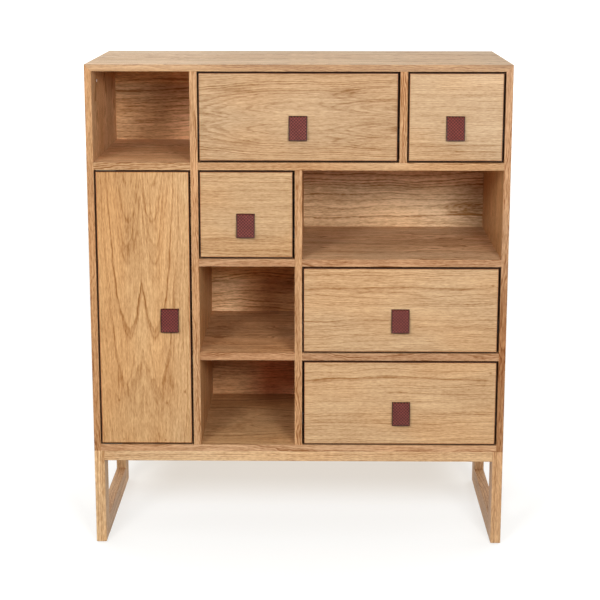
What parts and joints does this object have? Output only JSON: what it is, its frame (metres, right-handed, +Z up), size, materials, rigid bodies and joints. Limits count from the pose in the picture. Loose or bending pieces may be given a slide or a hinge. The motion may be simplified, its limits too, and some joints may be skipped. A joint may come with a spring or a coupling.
{
  "type": "chest of drawers",
  "caption": "Floor-standing oak cabinet with drawers, a side-hung door and open compartments on a low loop-leg base, opened by leather tabs.",
  "frame": {"origin": "bottom centre of the bounding box, on the floor", "axes": "+Z up, front with the doors and drawers towards -Y, +X to the right seen from the front"},
  "size_m": [1, 0.472, 1.18],
  "materials": {
    "oak_board": "clear matt-lacquered oak veneer on board, grain along each board",
    "oak_front": "clear matt-lacquered oak veneer",
    "oak_back": "clear matt-lacquered oak veneer, horizontal grain",
    "oak_base": "clear matt-lacquered solid oak",
    "oak_box": "clear lacquered light wood",
    "dowel_wood": "plain beech",
    "leather": "dark red pebbled leather with dark edges",
    "steel": "zinc-plated steel",
    "brass": "plain brass",
    "catch_plastic": "moulded plastic over magnets",
    "plug_plastic": "white moulded plastic",
    "felt": "brown felt"
  },
  "bodies": {
    "carcass": {"adjustable_shelf": "oak_board", "back_panel": "oak_back", "bottom_panel": "oak_board", "divider_centre": "oak_board", "divider_left": "oak_board", "divider_right": "oak_board", "door_hinge_pins": "brass", "felt_glides": "felt", "hole_plug": "plug_plastic", "leg_front_left": "oak_base", "leg_front_right": "oak_base", "leg_rear_left": "oak_base", "leg_rear_right": "oak_base", "magnetic_catch": "catch_plastic", "mitre_tongues": "dowel_wood", "rail_front": "oak_base", "rail_rear": "oak_base", "runner_left": "oak_base", "runner_right": "oak_base", "shelf_lower_left": "oak_board", "shelf_lower_right": "oak_board", "shelf_middle_left": "oak_board", "shelf_middle_right": "oak_board", "shelf_pins": "steel", "shelf_top_left": "oak_board", "shelf_top_right": "oak_board", "side_panel_left": "oak_board", "side_panel_right": "oak_board", "side_rail_left": "oak_base", "side_rail_right": "oak_base", "slide_rails_fixed": "steel", "top_panel": "oak_board", "wood_screws": "steel", "wooden_dowels": "dowel_wood"},
    "door": {"door_hinge_leaves": "brass", "door_panel": "oak_front", "door_strike_plate": "steel", "door_tab": "leather", "door_tab_clamp": "steel"},
    "drawer_bottom_wide": {"drawer_bottom_wide_box": "oak_box", "drawer_bottom_wide_fittings": "steel", "drawer_bottom_wide_front": "oak_front", "drawer_bottom_wide_tab": "leather"},
    "drawer_lower_wide": {"drawer_lower_wide_box": "oak_box", "drawer_lower_wide_fittings": "steel", "drawer_lower_wide_front": "oak_front", "drawer_lower_wide_tab": "leather"},
    "drawer_middle_small": {"drawer_middle_small_box": "oak_box", "drawer_middle_small_fittings": "steel", "drawer_middle_small_front": "oak_front", "drawer_middle_small_tab": "leather"},
    "drawer_top_small": {"drawer_top_small_box": "oak_box", "drawer_top_small_fittings": "steel", "drawer_top_small_front": "oak_front", "drawer_top_small_tab": "leather"},
    "drawer_top_wide": {"drawer_top_wide_box": "oak_box", "drawer_top_wide_fittings": "steel", "drawer_top_wide_front": "oak_front", "drawer_top_wide_tab": "leather"}
  },
  "joints": [
    {"name": "door_hinge", "type": "hinge", "parent": "carcass", "child": "door", "pos_m": [-0.4727, -0.218, 0.59375], "axis": [0, 0, -1], "range_deg": [0, 105]},
    {"name": "drawer_top_wide_slide", "type": "slide", "parent": "carcass", "child": "drawer_top_wide", "axis": [0, -1, 0], "range_m": [0, 0.3]},
    {"name": "drawer_top_small_slide", "type": "slide", "parent": "carcass", "child": "drawer_top_small", "axis": [0, -1, 0], "range_m": [0, 0.3]},
    {"name": "drawer_middle_small_slide", "type": "slide", "parent": "carcass", "child": "drawer_middle_small", "axis": [0, -1, 0], "range_m": [0, 0.3]},
    {"name": "drawer_lower_wide_slide", "type": "slide", "parent": "carcass", "child": "drawer_lower_wide", "axis": [0, -1, 0], "range_m": [0, 0.3]},
    {"name": "drawer_bottom_wide_slide", "type": "slide", "parent": "carcass", "child": "drawer_bottom_wide", "axis": [0, -1, 0], "range_m": [0, 0.3]}
  ]
}
